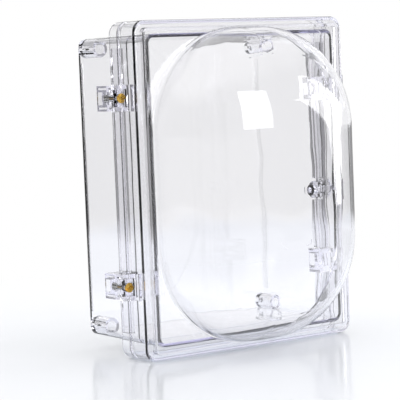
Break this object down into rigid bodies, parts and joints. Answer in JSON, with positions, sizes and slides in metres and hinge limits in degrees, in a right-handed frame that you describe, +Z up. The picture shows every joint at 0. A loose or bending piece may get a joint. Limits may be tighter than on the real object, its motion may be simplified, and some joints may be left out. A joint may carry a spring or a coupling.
{
  "type": "hinged enclosure",
  "caption": "Clear rectangular wall enclosure with a deep back box, a side-hinged skirted cover that swells into an oval dome, and a quarter-turn lock.",
  "frame": {"origin": "below the middle of the whole closed assembly, level with the lower edge of the cover's skirt and the flange", "axes": "+Z up along the long side, the domed cover faces -Y, the hinges are on -X and the lock is on +X"},
  "size_m": [0.246, 0.171, 0.282],
  "materials": {
    "box_polycarbonate": "clear gloss moulding",
    "cover_polycarbonate": "clear gloss moulding",
    "gasket_silicone": "translucent soft silicone",
    "knuckle_polycarbonate": "clear gloss moulding",
    "screw_brass": "turned brass",
    "lock_polycarbonate": "clear gloss moulding",
    "o_ring_rubber": "black rubber"
  },
  "bodies": {
    "box": {"back_box": "box_polycarbonate", "hinge_knuckle_upper": "knuckle_polycarbonate", "hinge_knuckle_lower": "knuckle_polycarbonate", "hinge_screw_upper": "screw_brass", "hinge_screw_lower": "screw_brass", "screw_insert_upper": "screw_brass", "screw_insert_lower": "screw_brass"},
    "cover": {"cover": "cover_polycarbonate", "cover_gasket": "gasket_silicone"},
    "lock": {"thumb_turn": "lock_polycarbonate", "shaft_o_ring": "o_ring_rubber"}
  },
  "joints": [
    {"name": "cover_hinge", "type": "hinge", "parent": "box", "child": "cover", "pos_m": [-0.1176, -0.0043, 0.141], "axis": [0, 0, -1], "range_deg": [0, 160]},
    {"name": "lock_turn", "type": "hinge", "parent": "box", "child": "lock", "pos_m": [0.1176, 0.0105, 0.128], "axis": [1, 0, 0], "range_deg": [0, 90]}
  ]
}
